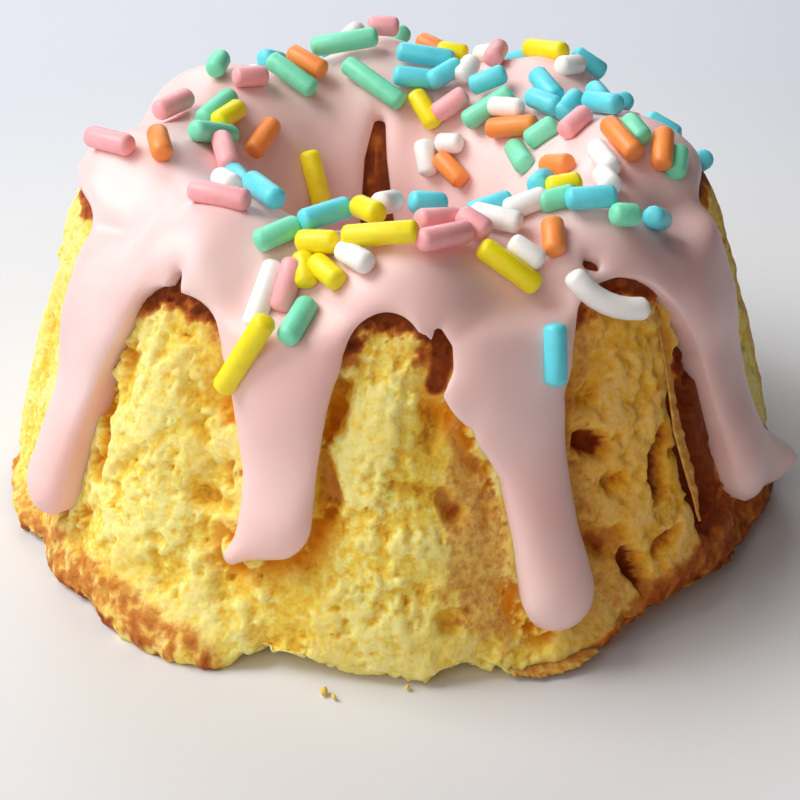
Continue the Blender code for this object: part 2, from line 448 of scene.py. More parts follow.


# %% [markdown]
# ## Torn crumb
#
# The relief has several parts, each about the size it has on a real sponge: soft lumps of
# several millimetres, ledges with ragged edges where a layer of crumb came away, a few pores
# a millimetre or two wide, many smaller ones, and a fine grain. Almost all press inwards, so
# the cake keeps its size. The largest hollows are given as chains of blobs on the wall like
# the drips, but with a depth instead of a thickness.

# %% Hollows
# The deepest parts of these hollows are also painted dark brown, as painted shade.
HOLLOWS = (
    ((8.0, 16.9, 0.55, 1.2), (9.6, 15.1, 0.65, 1.4)),
    ((8.5, 6.2, 1.1, 1.0), (8.6, 5.9, 1.1, 1.0)),
    ((10.8, 6.9, 0.5, 0.8), (11.4, 6.8, 0.4, 0.8)),
    ((6.3, 20.6, 0.9, 0.7), (7.0, 23.0, 0.8, 0.8), (5.6, 24.0, 0.5, 0.5)),
    ((1.0, 17.8, 0.5, 0.5), (4.5, 17.4, 0.7, 0.7), (7.0, 17.2, 0.5, 0.6)),
    ((-7.0, 25.4, 0.8, 0.9), (-7.8, 22.4, 1.2, 1.2)),
    ((-10.6, 19.6, 1.1, 1.2), (-9.0, 16.6, 1.2, 1.3), (-10.2, 14.6, 0.8, 1.0)),
    ((15.5, 18.4, 0.6, 0.8), (13.4, 18.9, 0.45, 0.7)),
    ((33.0, 18.6, 1.1, 2.1), (35.0, 18.0, 1.3, 2.1)),
    ((34.5, 22.0, 1.1, 0.8), (36.0, 23.0, 0.7, 0.7)),
    ((44.6, 12.6, 1.1, 2.3), (44.6, 15.0, 1.2, 2.5), (47.0, 16.6, 0.8, 2.3)),
    ((37.2, 7.6, 0.8, 2.0), (38.2, 6.2, 1.3, 2.3), (39.4, 4.8, 0.8, 2.0)),
    ((29.5, 11.0, 1.2, 1.2), (33.6, 9.4, 1.3, 1.5), (36.5, 10.0, 0.9, 1.2)),
    ((36.6, 14.4, 0.8, 1.2), (38.6, 14.8, 0.5, 1.0)),
    ((43.0, 7.4, 0.7, 1.4), (46.0, 8.2, 0.7, 1.4)),
    ((52.5, 27.5, 0.9, 0.9), (52.8, 19.5, 1.7, 1.6), (53.5, 12.0, 2.4, 2.2),
     (54.5, 7.0, 2.2, 1.6)),
    ((-53.0, 20.4, 0.9, 1.0), (-50.0, 16.8, 1.3, 1.3), (-50.5, 12.4, 1.1, 1.1)),
    ((-31.5, 20.2, 0.5, 0.7), (-30.6, 19.5, 0.6, 0.7)),
    ((-29.5, 14.6, 1.0, 0.7), (-25.5, 14.0, 0.9, 0.8)),
    ((-37.5, 23.6, 0.4, 0.6), (-37.0, 23.2, 0.3, 0.6)),
)
# Beside the right drip the crust did not tear away.
DARK_CRUST = ((60.0, 25.0, 1.6), (60.0, 20.0, 2.2), (58.0, 14.0, 2.6), (55.5, 8.0, 2.8))
# On both sides of the long drip, and down the rib on the right, a thin tan skin is left.
SKINS = (
    ((10.0, 22.0, 1.2), (13.0, 14.0, 2.7), (12.5, 7.5, 2.6), (16.0, 3.5, 1.6)),
    ((34.0, 28.0, 2.2), (31.0, 22.0, 1.6), (29.5, 14.0, 1.8), (33.0, 7.0, 2.8)),
    ((92.0, 32.0, 3.0), (95.0, 20.0, 4.0), (96.0, 6.0, 4.0)),
)
BULGING_RIB = 97            # degrees: the rib on the right stands out a little
SHADED_RIB = 42          # the rib between the long drip and the right one, painted orange for its shade
print(len(HOLLOWS), "hollows and", len(SKINS), "patches of skin")


# %% Crumb relief
def crumb_relief(spots, angle, along, outside):
    """The crumb at bare spots, which are this far outside the icing: the relief in mm, how
    sunken it is, how orange (soaked crumb and painted shade) and how brown (tan skin and painted
    shade), each from 0 to 1."""
    radius_here = wall(along)[0]
    lumps = 0.5 * waves(spots, 7.5, 2, 3.1) + 0.22 * waves(spots, 2.6, 2, 9.4)
    grain = waves(spots, 1.0, 3, 14.0, 0.6)
    ledges = waves(spots * (1, 1, 0.7), 5.5, 6, 21.7, 0.5)
    steps = waves(spots * (1, 1, 0.8), 2.6, 5, 4.0, 0.5)
    low = smoothstep(ledges, 0.06, 0.18)
    lower = smoothstep(steps, 0.22, 0.40)
    warped = spots + 0.4 * np.stack([grain, steps, ledges], axis=-1)
    large = smoothstep(pores(warped, 4.4, 1.0, 0.16, 1.3), 0.05, 0.7)
    small = smoothstep(pores(warped, 1.7, 0.42, 0.40, 5.9), 0.05, 0.8)
    skin = np.max([blob_chain(angle, along, radius_here, chain)[0] for chain in SKINS], axis=0)
    skin = smoothstep(skin + 1.4 * steps, -0.3, 0.3)
    deep = np.zeros(len(spots))
    for chain in HOLLOWS:
        inside, half, depth = blob_chain(angle, along, radius_here, chain)
        rough_edge = inside + 0.45 * steps + 0.2 * grain
        deep = np.maximum(deep, depth * smoothstep(rough_edge, -0.3, 0.3 + 0.4 * half))
    # Beside the drips the crumb is sunk and soaked, and its orange there is also painted shade
    # along the icing's edge.
    beside = smoothstep(outside, 2.8, 0.4) * smoothstep(along, 27.0, 23.0)
    beside = beside * smoothstep(ledges + 0.25 * steps, -0.12, 0.12)
    torn = 1 - 0.8 * skin
    bulge = 0.9 * facing(angle, BULGING_RIB, 0.95, 0.99)
    relief = (bulge - 0.3 + 0.5 * lumps + 0.12 * grain - torn * (0.5 * low + 0.24 * lower)
              - 0.8 * large * torn - 0.3 * small - 0.7 * beside - deep)
    hollow = (torn * (0.22 * low + 0.12 * lower) + 0.7 * large * torn + 0.6 * small
              + deep / 1.9 + 0.15 * beside - 0.24 * grain - 0.15 * lumps)
    # Painted shade: the rib on the right side lies in shade and is painted the soaked orange, and
    # so, in part, are the deep hollows.
    rib_in_shade = facing(angle, SHADED_RIB, 0.94, 0.98)
    moist_and_shade = np.maximum(np.maximum(beside, 0.5 * rib_in_shade), 0.3 * smoothstep(deep, 0.3, 1.2))
    # The tan skin is real; the deepest hollows are also painted dark brown here, as painted
    # shade.
    tan = np.maximum(0.30 * skin, 0.95 * smoothstep(deep, 0.9, 1.8))
    return relief, np.clip(hollow, 0, 1), moist_and_shade, tan


# %% [markdown]
# The rim of the base met the air in the oven, so it is a lumpy, browned lip that stands out
# and curls up off the table in places. Three things are given at a few angles round the
# cake: how high the crust reaches, how far the lip stands out and how far it is lifted. The
# sponge under the icing's edge kept its crust too: it is dark in the arches and soon fades
# into crumb.

# %% Browned crust
RIM_CRUST = ((-85, 3.0), (-62, 5.2), (-45, 6.0), (-31, 4.2), (-24, 2.2), (-17, -1.2),
             (18, -1.2), (24, 0.8), (32, 3.0), (38, 4.4), (46, 5.6), (54, 8.0), (62, 10.0),
             (76, 6.0), (120, 1.2), (150, 3.6), (185, 0.6), (222, 4.0), (250, 1.4))
LIP = ((-81, 0.1), (-72, 0.5), (-66, -0.8), (-58, 0.3), (-49, -0.3), (-39, 0.7), (-30, 1.5),
       (-24, 1.2), (-18, -0.7), (-12, -1.1), (0, -0.7), (6, -0.2), (11, -0.8), (16, 0.7),
       (23, 1.1), (31, 0.6), (39, -0.6), (48, -0.9), (61, 0.1), (78, 0.8), (110, 0.2),
       (150, 0.9), (190, -0.4), (225, 1.0), (250, 0.1))
LIFTED_EDGE = ((-60, 0.3), (-25, 0.1), (-20, 0.9), (-15, 0.8), (-11, 0.2), (5, 0.2), (10, 0.8),
               (14, 0.4), (18, 0.5), (28, 1.1), (34, 1.5), (42, 1.5), (60, 1.3), (110, 0.1),
               (150, 0.6), (200, 0.1), (240, 0.5))
SHADED_SIDE = 62              # degrees: the rim is painted darkest round here, as painted shade
BASE_INSET = 1.2            # how far the flat base ends inside the lip, in mm
LIFTED_INSET = 0.9          # and how much further for each mm that the lip is lifted


def round_cake(angle, table):
    """A table of values at angles in degrees, read at any angle."""
    return np.interp(np.degrees(angle), *zip(*table), period=360)


def crust(points, angle, along, on_wall, iced):
    """How browned each place is by the rim, by the icing's edge and by the tin's chimney."""
    height = points[:, 2]
    reach = round_cake(angle, RIM_CRUST) + 1.3 * waves(points, 3.0, 3, 61.0, 0.7)
    rim = on_wall * smoothstep(reach - height, -0.9, 2.0) * smoothstep(along, 40.0, 39.0)
    near = iced + 1.3 * waves(points, 2.0, 4, 7.7, 0.6)
    arch = on_wall * smoothstep(near, -2.3, -0.1) * smoothstep(along, 26.0, 29.5)
    radius_here = wall(along)[0]
    bay = blob_chain(angle, along, radius_here, BARE["bay"])[0]
    arch = np.maximum(arch, on_wall * smoothstep(bay, -0.6, 0.1))
    dark = blob_chain(angle, along, radius_here, DARK_CRUST)[0]
    dark = dark + 0.6 * waves(points, 2.0, 3, 31.0, 0.7)
    arch = np.maximum(arch, on_wall * 0.95 * smoothstep(dark, -0.5, 0.4))
    chimney = on_wall * smoothstep(along, CREST, CREST + 4)
    return rim, arch, chimney


# %% [markdown]
# Now each sector is spun, shaped and closed. The costly noise is only read where crumb shows.
# What the colours need later, how sunken, how orange and how browned each place is, goes on
# the mesh as attributes; the orange and the browning also carry painted shade. The faces that
# close a sector are flat, so their border is marked sharp.

# %% Sponge relief
def bare_crumb(smooth, angle, along, bare, iced):
    """The crumb's relief, and how sunken, how orange and how brown it is, read only where it
    shows; the orange and brown hold painted shade too.
    """
    values = np.zeros((4, len(smooth)))
    seen = bare > 0
    values[:, seen] = crumb_relief(smooth[seen], angle[seen], along[seen], -iced[seen])
    return values


def rim_relief(relief, smooth, angle, rim):
    """The relief with the browned lip added: lumpy, and standing out here and there."""
    lip = 0.15 + 0.32 * waves(smooth, 1.9, 3, 40.0, 0.7) - 0.4 * (1 - rim)
    relief = relief * (1 - 0.5 * rim) + lip * rim
    return relief + (round_cake(angle, LIP) + 0.2) * smoothstep(smooth[:, 2], 5.5, 0.5)


# %% Foot of the sponge
def curl_lip(shaped, smooth, angle, along):
    """Lift the lip off the table in ragged places, while the hole's foot stays down."""
    ragged = 0.4 * waves(smooth * (1, 1, 0), 1.8, 4, 17.0, 0.7)
    curl = np.maximum(round_cake(angle, LIFTED_EDGE) + ragged, 0.0)
    lifted = shaped[:, 2] + curl * smoothstep(smooth[:, 2], 3.0, 0.0)
    shaped[:, 2] = np.where(along >= WALL_END, 0.0, np.maximum(lifted, 0.0))


def base_places(places, angle):
    """The flat base's points, spread evenly from the hole to a little inside the lip."""
    inset = round_cake(angle, LIP) - BASE_INSET - LIFTED_INSET * round_cake(angle, LIFTED_EDGE)
    lip_radius = np.hypot(*on_skin(angle, np.zeros_like(angle), inset)[:, :2].T)
    radius = np.hypot(places[:, 0], places[:, 1])
    hole = PATH[-1, 0]
    spread = hole + (radius - hole) / (BASE_RADIUS - hole) * (lip_radius - hole)
    return places[:, :3] * (1, 1, 0) * (spread / radius)[:, None]


# %% Sponge browning
def browning(smooth, angle, rim, arch, chimney, tan):
    """How browned each place is, from 0 to 1, by whichever cause is strongest there, painted
    shade among them.
    """
    # Painted shade: on the side away from the window the rim is painted darker, and darkest at
    # its foot. All round, it is also a little darker at the foot.
    shaded = 0.32 * facing(angle, SHADED_SIDE, 0.8, 0.95)
    foot = smoothstep(smooth[:, 2], 2.0, 0.6)
    rim = rim * (0.38 + shaded + (0.15 + shaded) * foot
                 - (0.25 + 0.4 * foot) * waves(smooth, 1.3, 3, 71.0, 0.7))
    chimney = chimney * (0.55 + 0.45 * waves(smooth, 3.0, 3, 83.0, 0.7))
    return np.clip(np.max([arch * 1.05, chimney, rim, tan], axis=0), 0, 1)


# %% Sponge shape
def shape_sector(bm, along_layer, wall_layer):
    """Move a sector's vertices to their places; gives the values for its attributes."""
    places = np.array([(v.co.x, v.co.y, v[along_layer], v[wall_layer]) for v in bm.verts])
    angle = np.arctan2(places[:, 0], -places[:, 1])
    along = places[:, 2]
    on_wall = places[:, 3] > 0.5
    smooth = on_skin(angle, along, 0.0)
    iced = icing_cover(angle, along)[0]
    bare = on_wall * smoothstep(-iced, -1.6, 0.2) * smoothstep(along, 48.0, 36.0)
    relief, hollow, moist_and_shade, tan = bare_crumb(smooth, angle, along, bare, iced)
    rim, arch, chimney = crust(smooth, angle, along, on_wall, iced)
    relief = rim_relief(relief, smooth, angle, rim)

    shaped = on_skin(angle, along, relief * bare - ICED_DROP * (1 - bare))
    curl_lip(shaped, smooth, angle, along)
    shaped = np.where(on_wall[:, None], shaped, base_places(places, angle))
    for vertex, point in zip(bm.verts, shaped.tolist()):
        vertex.co = point
    crumb = [v for v, open_here in zip(bm.verts, (bare > 0.02) & (along > 0.5))
             if open_here and not v.is_boundary]
    bmesh.ops.smooth_vert(bm, verts=crumb, factor=0.5, use_axis_x=True, use_axis_y=True,
                          use_axis_z=True)
    # The browning carries painted shade as well as crust.
    browned = browning(smooth, angle, rim, arch, chimney, tan * bare)
    return {"hollow": hollow * bare, "moist_and_shade": moist_and_shade * bare, "browned": browned}


def close_sector(bm):
    """Fill the sector's two ends and turn all faces outwards."""
    ends = bmesh.ops.holes_fill(bm, edges=[e for e in bm.edges if e.is_boundary], sides=0)
    for face in ends["faces"]:
        for edge in face.edges:
            edge.smooth = False
    bmesh.ops.triangulate(bm, faces=ends["faces"])
    bmesh.ops.recalc_face_normals(bm, faces=bm.faces)


# %% [markdown]
# ## Sponge material
#
# Butter sponge: a yellow foam of flour, egg and sugar. It scatters light inside, so its
# shadows glow orange and never go grey. High crumb is dry and pale. Sunken crumb is painted
# darker and more amber, partly as painted shade, and crumb beside the drips is soaked orange,
# with painted shade there too. Crust is brown. The crumb's bubbles are 0.2 to 0.6 mm wide,
# finer than the mesh can hold, so bump draws them, from a pattern of cells and a fine noise.

# %% Sponge material
sponge_material, tree = new_material("butter_sponge_torn_crumb")
coordinates = add_node(tree, "TexCoord").outputs["Object"]
hollow_shade_socket = add_node(tree, "Attribute", attribute_name="hollow").outputs["Fac"]
moist_and_shade_socket = add_node(tree, "Attribute", attribute_name="moist_and_shade").outputs["Fac"]
browned_and_shade_socket = add_node(tree, "Attribute", attribute_name="browned").outputs["Fac"]
grain_noise = add_node(tree, "TexNoise", {"Vector": coordinates, "Scale": 1 / (0.8 * MM),
                                          "Detail": 5.0, "Roughness": 0.65}).outputs["Fac"]
patch_noise = add_node(tree, "TexNoise", {"Vector": coordinates, "Scale": 1 / (6 * MM),
                                          "Detail": 4.0, "Roughness": 0.6}).outputs["Fac"]
bubbles = add_node(tree, "TexVoronoi", {"Vector": coordinates, "Scale": 1 / (0.5 * MM)},
                   feature="SMOOTH_F1").outputs["Distance"]
speck = add_node(tree, "Math", {0: grain_noise, 1: 0.5}, operation="SUBTRACT").outputs[0]
fine_noise = add_node(tree, "TexNoise", {"Vector": coordinates, "Scale": 1 / (0.33 * MM),
                                         "Detail": 3.0}).outputs["Fac"]
depth = add_node(tree, "Math", {0: speck, 1: 0.8, 2: hollow_shade_socket},
                 operation="MULTIPLY_ADD").outputs[0]
fine_speck = add_node(tree, "Math", {0: fine_noise, 1: 0.5}, operation="SUBTRACT").outputs[0]
depth = add_node(tree, "Math", {0: fine_speck, 1: 0.65, 2: depth},
                 operation="MULTIPLY_ADD").outputs[0]
# Painted shade in part: the more sunken the crumb, the darker and more amber it is painted, down
# to dark brown in the deepest pits where shade falls.
crumb_colour = ramp(tree, depth, ((0.0, "FFEE9C"), (0.22, "FADC60"), (0.50, "EFBC38"),
                                  (0.78, "B8680F"), (1.0, "5E2E08")))
warm_share = add_node(tree, "MapRange", {"Value": patch_noise, "From Min": 0.42,
                                         "From Max": 0.62, "To Max": 0.45}).outputs[0]
warm = add_node(tree, "Mix", {"Factor": warm_share, "A": crumb_colour, "B": linear("F2CE4A")},
                data_type="RGBA").outputs["Result"]
# Soaked crumb and painted shade: the orange covers crumb beside the drips, and as painted shade
# the rib on the shaded side and the deep hollows.
moist_and_shade_share = add_node(tree, "Math", {0: moist_and_shade_socket, 1: 0.95},
                       operation="MULTIPLY").outputs[0]
moist_and_shade_colour = add_node(tree, "Mix", {"Factor": moist_and_shade_share, "A": warm, "B": linear("E48E08")},
                        data_type="RGBA").outputs["Result"]
# The browning holds real crust and also painted shade: the rim on the shaded side and the deepest
# pits are painted dark brown.
crust_depth = add_node(tree, "Math", {0: speck, 1: -0.7, 2: browned_and_shade_socket},
                       operation="MULTIPLY_ADD").outputs[0]
crust_colour = ramp(tree, crust_depth, ((0.25, "DFA54C"), (0.5, "C4742A"), (0.75, "A04212"),
                                        (1.0, "761E04")))
crust_share = add_node(tree, "MapRange", {"Value": crust_depth, "From Min": 0.08,
                                          "From Max": 0.42, "To Max": 0.95},
                       interpolation_type="SMOOTHSTEP").outputs[0]
sponge_colour = add_node(tree, "Mix", {"Factor": crust_share, "A": moist_and_shade_colour,
                                       "B": crust_colour}, data_type="RGBA").outputs["Result"]
bubble_bump = add_node(tree, "Bump", {"Height": bubbles, "Strength": 0.5,
                                      "Distance": 0.20 * MM}).outputs[0]
grain_bump = add_node(tree, "Bump", {"Height": grain_noise, "Strength": 0.7,
                                     "Distance": 0.30 * MM, "Normal": bubble_bump}).outputs[0]
shade(tree, {"Base Color": sponge_colour, "Roughness": 0.7, "IOR": 1.42,
             "Specular IOR Level": 0.2, "Subsurface Weight": 0.65,
             "Subsurface Radius": (1.0, 0.6, 0.2), "Subsurface Scale": 1.2 * MM,
             "Normal": grain_bump})


# %% Sponge pieces
def set_attributes(piece, values):
    """Store values for each vertex on a piece's mesh, by name."""
    for name, value in values.items():
        attribute = piece.data.attributes.new(name, "FLOAT", "POINT")
        attribute.data.foreach_set("value", np.ascontiguousarray(value, dtype=np.float32))


for name, (start, end, spacing) in SECTORS.items():
    sector_bm, layers = spin_sector(sponge_section(), math.radians(start), math.radians(end),
                                    spacing)
    values = shape_sector(sector_bm, *layers)
    close_sector(sector_bm)
    sector = finish_mesh(sector_bm, name, sponge_material)
    set_attributes(sector, values)
    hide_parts("cake")

# %% [markdown]
# ## Loose crumbs and thin leaves
#
# A few crumbs lie in front of the cake. Each is a ball of a few faces, squashed and dented.
# Two thin leaves of crust came half away: a flap that hangs beside the right drip, and
# a flake that stands out at the foot. A leaf starts as a flat grid that is bent on to the
# wall along its middle line, and is then given its thickness.

# %% Loose crumbs
# Where each lies, to the right and to the back of the origin, and its size.
FALLEN = ((-5.2, -35.4, 0.36), (-4.4, -36.0, 0.24), (1.5, -34.8, 0.28))


def add_crumb(bm, centre, size):
    """A small ball in the bmesh, squashed, turned and dented at random."""
    stretch = Matrix.Diagonal([random.uniform(0.6, 1.3) * size for _ in range(3)]).to_4x4()
    spin = Matrix.Rotation(random.uniform(0, math.tau), 4, Vector((
        random.uniform(-1, 1), random.uniform(-1, 1), 1.0)))
    ball = bmesh.ops.create_icosphere(bm, subdivisions=1, radius=1.0,
                                      matrix=Matrix.Translation(centre) @ spin @ stretch)
    for vertex in ball["verts"]:
        vertex.co += (vertex.co - centre) * random.uniform(-0.25, 0.25)


random.seed(5)
crumb_bm = bmesh.new()
for x, y, size in FALLEN:
    add_crumb(crumb_bm, Vector((x, y, size * 1.3)), size)
bmesh.ops.recalc_face_normals(crumb_bm, faces=crumb_bm.faces)
crumb_material, tree = new_material("butter_sponge_dry_crumbs")
coordinates = add_node(tree, "TexCoord").outputs["Object"]
toast = add_node(tree, "TexNoise", {"Vector": coordinates, "Scale": 1 / (1.5 * MM),
                                    "Detail": 3.0}).outputs["Fac"]
shade(tree, {"Base Color": ramp(tree, toast, ((0.35, "F6DC78"), (0.65, "E8BC4A"))),
             "Roughness": 0.8, "IOR": 1.42, "Specular IOR Level": 0.2})
crumbs = finish_mesh(crumb_bm, "crumbs", crumb_material)

# %% Leaves of crust
# Each leaf's middle line: angle, distance along the wall, lift and half width.
FLAP = ((50.4, 27.5, -0.5, 0.25), (49.0, 22.0, -0.1, 0.3), (48.0, 17.0, 0.3, 0.5),
        (48.2, 13.0, 0.7, 0.45), (48.6, 8.8, 0.8, 0.08))
FLAKE = ((16.5, 0.9, -0.9, 1.3), (20.5, 1.0, 0.3, 1.4), (25.0, 1.2, 0.8, 1.1),
         (29.0, 1.5, 1.1, 0.2))


def add_leaf(name, middle, way, thickness, browned):
    """A thin leaf along its middle line. Its width goes round the cake, or out from it."""
    bm = bmesh.new()
    bmesh.ops.create_grid(bm, x_segments=6, y_segments=40, size=1.0)
    grid = np.array([tuple(v.co) for v in bm.verts])
    stations = np.linspace(-1, 1, len(middle))
    angle, along, lift, half = [np.interp(grid[:, 1], stations, c) for c in zip(*middle)]
    rough = waves(grid * (0, 4, 0) + (0, 0, 3), 0.5, 3, 8.0)
    across = grid[:, 0] * half * (1 + 0.5 * rough)
    turn = np.radians(angle) + (across / wall(along)[0] if way == "round" else 0.0)
    lift = lift + (across if way == "out" else 0.25 * rough)
    along = along + (0.12 * rough if way == "out" else 0.0)
    for vertex, point in zip(bm.verts, on_skin(turn, along, lift).tolist()):
        vertex.co = point
    bmesh.ops.recalc_face_normals(bm, faces=bm.faces)
    bmesh.ops.solidify(bm, geom=bm.faces, thickness=thickness)
    bmesh.ops.recalc_face_normals(bm, faces=bm.faces)
    leaf = finish_mesh(bm, name, sponge_material)
    set_attributes(leaf, {"browned": np.full(len(leaf.data.vertices), browned)})


add_leaf("crust_flap", FLAP, "round", 0.16, 0.40)
add_leaf("crust_flake", FLAKE, "out", 0.22, 0.38)

# %% [markdown]
# ## The icing
#
# The icing is a sheet first: the wall is spun again, and only the part under the outline is
# kept. The vertices left along the border are slid on to the outline itself, so the edge is
# smooth and not stepped. Extruding the sheet gives a second skin, which is lifted like the
# top of a drop, while the first sinks a little into the sponge.

# %% Icing sheet
ICING_COLUMNS = 500
SHEET_STEP = 0.40
KEPT_INSIDE = 0.12          # a face is kept if its corners' mean is this far in, in mm


def icing_sheet():
    """The wall's sheet, from below the lowest drip to below the throat's edge."""
    rows = np.concatenate([np.arange(3.5, 40.0, SHEET_STEP), np.arange(40.0, 61.0, 0.55)])
    r, z = wall(rows)[:2]
    bm = bmesh.new()
    layer = bm.verts.layers.float.new("along")
    corners = []
    for radius, level, place in zip(r, z, rows):
        corners.append(bm.verts.new((0.0, -radius, level)))
        corners[-1][layer] = place
    edges = [bm.edges.new(pair) for pair in zip(corners, corners[1:])]
    bmesh.ops.spin(bm, geom=corners + edges, cent=(0, 0, 0), axis=(0, 0, 1),
                   angle=2 * math.pi, steps=ICING_COLUMNS, use_merge=True)
    return bm, layer


def steepest(angle, along, step=0.05):
    """The direction in to the middle of the icing, per mm round the ring and along it."""
    radius_here = wall(along)[0]
    turn = step / radius_here
    du = (icing_cover(angle + turn, along)[0] - icing_cover(angle - turn, along)[0]) / (2 * step)
    dv = (icing_cover(angle, along + step)[0] - icing_cover(angle, along - step)[0]) / (2 * step)
    size = np.maximum(np.hypot(du, dv), 0.2)
    return du / size**2, dv / size**2, size


icing_bm, sheet_layer = icing_sheet()
sheet = np.array([(math.atan2(v.co.x, -v.co.y), v[sheet_layer]) for v in icing_bm.verts])
inside, _, _ = icing_cover(sheet[:, 0], sheet[:, 1])
icing_bm.verts.ensure_lookup_table()
icing_bm.verts.index_update()
outside_faces = [f for f in icing_bm.faces
                 if sum(inside[v.index] for v in f.verts) / len(f.verts) < KEPT_INSIDE]
bmesh.ops.delete(icing_bm, geom=outside_faces, context="FACES")
thin_faces = [f for f in icing_bm.faces if sum(e.is_boundary for e in f.edges) >= 3]
bmesh.ops.delete(icing_bm, geom=thin_faces, context="FACES")
print("icing sheet", len(icing_bm.faces), "faces")

# %% [markdown]
# The border is slid on to the outline. Each round also evens out the spacing: a border vertex
# moves towards the middle of its neighbours on the border, and a vertex close to the border
# towards the middle of all of its neighbours. Angles are averaged as directions, because the
# ring closes on itself.

# %% Icing border
EVENING_ROUNDS = 8
SLIDES = 2                  # in each round, slides of the border towards the outline
NEAR_BORDER = 1.6           # vertices this near the border are evened with it, in mm

kept = list(icing_bm.verts)
icing_bm.verts.index_update()
turn = np.array([math.atan2(v.co.x, -v.co.y) for v in kept])
place = np.array([v[sheet_layer] for v in kept])
border = np.array([v.is_boundary for v in kept])
links = np.array([[v.index for v in e.verts] for e in icing_bm.edges])
border_edges = [e for e in icing_bm.edges if e.is_boundary]
border_links = np.array([[v.index for v in e.verts] for e in border_edges])


def middle_of_neighbours(values, pairs):
    """For each vertex, the mean of the values of the vertices it is paired with."""
    total = np.zeros_like(values)
    count = np.zeros(len(values))
    for a, b in (pairs.T, pairs.T[::-1]):
        np.add.at(total, a, values[b])
        np.add.at(count, a, 1)
    return total / np.maximum(count, 1)[:, None]


for _ in range(EVENING_ROUNDS):
    flat = np.stack([np.sin(turn), np.cos(turn), place], axis=-1)
    near_border = ~border & (icing_cover(turn, place)[0] < NEAR_BORDER)
    evened = np.where(near_border[:, None], middle_of_neighbours(flat, links), flat)
    evened = np.where(border[:, None], middle_of_neighbours(flat, border_links), evened)
    turn = np.arctan2(evened[:, 0], evened[:, 1])
    place = evened[:, 2]
    for _ in range(SLIDES):
        gap = icing_cover(turn, place)[0]
        du, dv, _ = steepest(turn, place)
        turn = np.where(border, turn - gap * du / wall(place)[0], turn)
        place = np.where(border, place - gap * dv, place)
print("border vertices", int(border.sum()))

# %% [markdown]
# Near the edge the vertices are also drawn closer together, so that the steep shoulder of
# each drop is evenly stepped. A slow wave in the thickness gives the surface the soft swells
# of icing that set while it ran.

# %% Icing shape
def filled_flutes(inside, along):
    """How deep the flutes are in the icing's top: it fills them between the ribs' flanks, but
    on the shoulder it gathers in folds that follow them."""
    fill = 0.45 * smoothstep(along, 17.0, 25.0) * smoothstep(along, 33.0, 28.0)
    fold = 0.80 * smoothstep(along, 29.0, 33.0) * smoothstep(along, 41.0, 36.0)
    return 1 + (fold - fill) * smoothstep(inside, 0.0, 4.0)


EDGE_LIFT = 0.30            # the edge's widest point, as a share of the thickness
TUCK = 0.55                 # how far the underside is tucked in below the edge, in mm
SUNK = 1.5                  # how far the underside sinks into the sponge
SOFTENING_ROUNDS = 5

inside, width, thick = icing_cover(turn, place)
inside = np.where(border, 0.0, np.maximum(inside, 0.0))
du, dv, size = steepest(turn, place)
round_in = np.clip(inside / width, 0, 1) * math.pi / 2
drawn = np.where(inside < width, width * (1 - np.cos(round_in)) - inside, 0.0)
drawn = np.where(border, 0.0, drawn)
top_turn = turn + drawn * du * size / wall(place)[0]
top_place = place + drawn * dv * size
flat_points = on_skin(turn, place, 0.0)
swell = 1 + 0.30 * waves(flat_points, 9.0, 1, 2.2) + 0.12 * waves(flat_points, 4.0, 1, 6.0)
full = thick * swell
top_lift = full * (EDGE_LIFT + (1 - EDGE_LIFT) * np.sin(round_in))
top_points = on_skin(top_turn, top_place, ICING_LIFT + top_lift, filled_flutes(inside, place))
for _ in range(SOFTENING_ROUNDS):       # the skin is softened, as surface tension does it
    even = middle_of_neighbours(top_points, links)
    top_points = np.where(border[:, None], top_points, (top_points + even) / 2)

# %% Icing underside
tuck = np.where(border, TUCK, 0.0)
under_points = on_skin(turn + tuck * du * size / wall(place)[0], place + tuck * dv * size,
                       -SUNK)

extruded = bmesh.ops.extrude_face_region(icing_bm, geom=list(icing_bm.faces),
                                         use_keep_orig=True)
raised = [item for item in extruded["geom"] if isinstance(item, bmesh.types.BMVert)]
finder = {tuple(np.round(v.co, 5)): i for i, v in enumerate(kept)}
for vertex in raised:
    vertex.co = top_points[finder[tuple(np.round(vertex.co, 5))]]
for vertex, point in zip(kept, under_points.tolist()):
    vertex.co = point
for edge in border_edges:       # the hidden lower edge is sharp
    edge.smooth = False
bmesh.ops.recalc_face_normals(icing_bm, faces=icing_bm.faces)
print("icing up to %.1f mm thick" % full.max())

# %% [markdown]
# ## Icing material
#
# Poured icing is fine sugar in a little water: white, tinted with a drop of pink, and set to
# a satin skin. Light goes a millimetre or two into it, which softens every shadow and lets
# the yellow cake warm its thin edges. The skin is smooth, with only a faint unevenness.

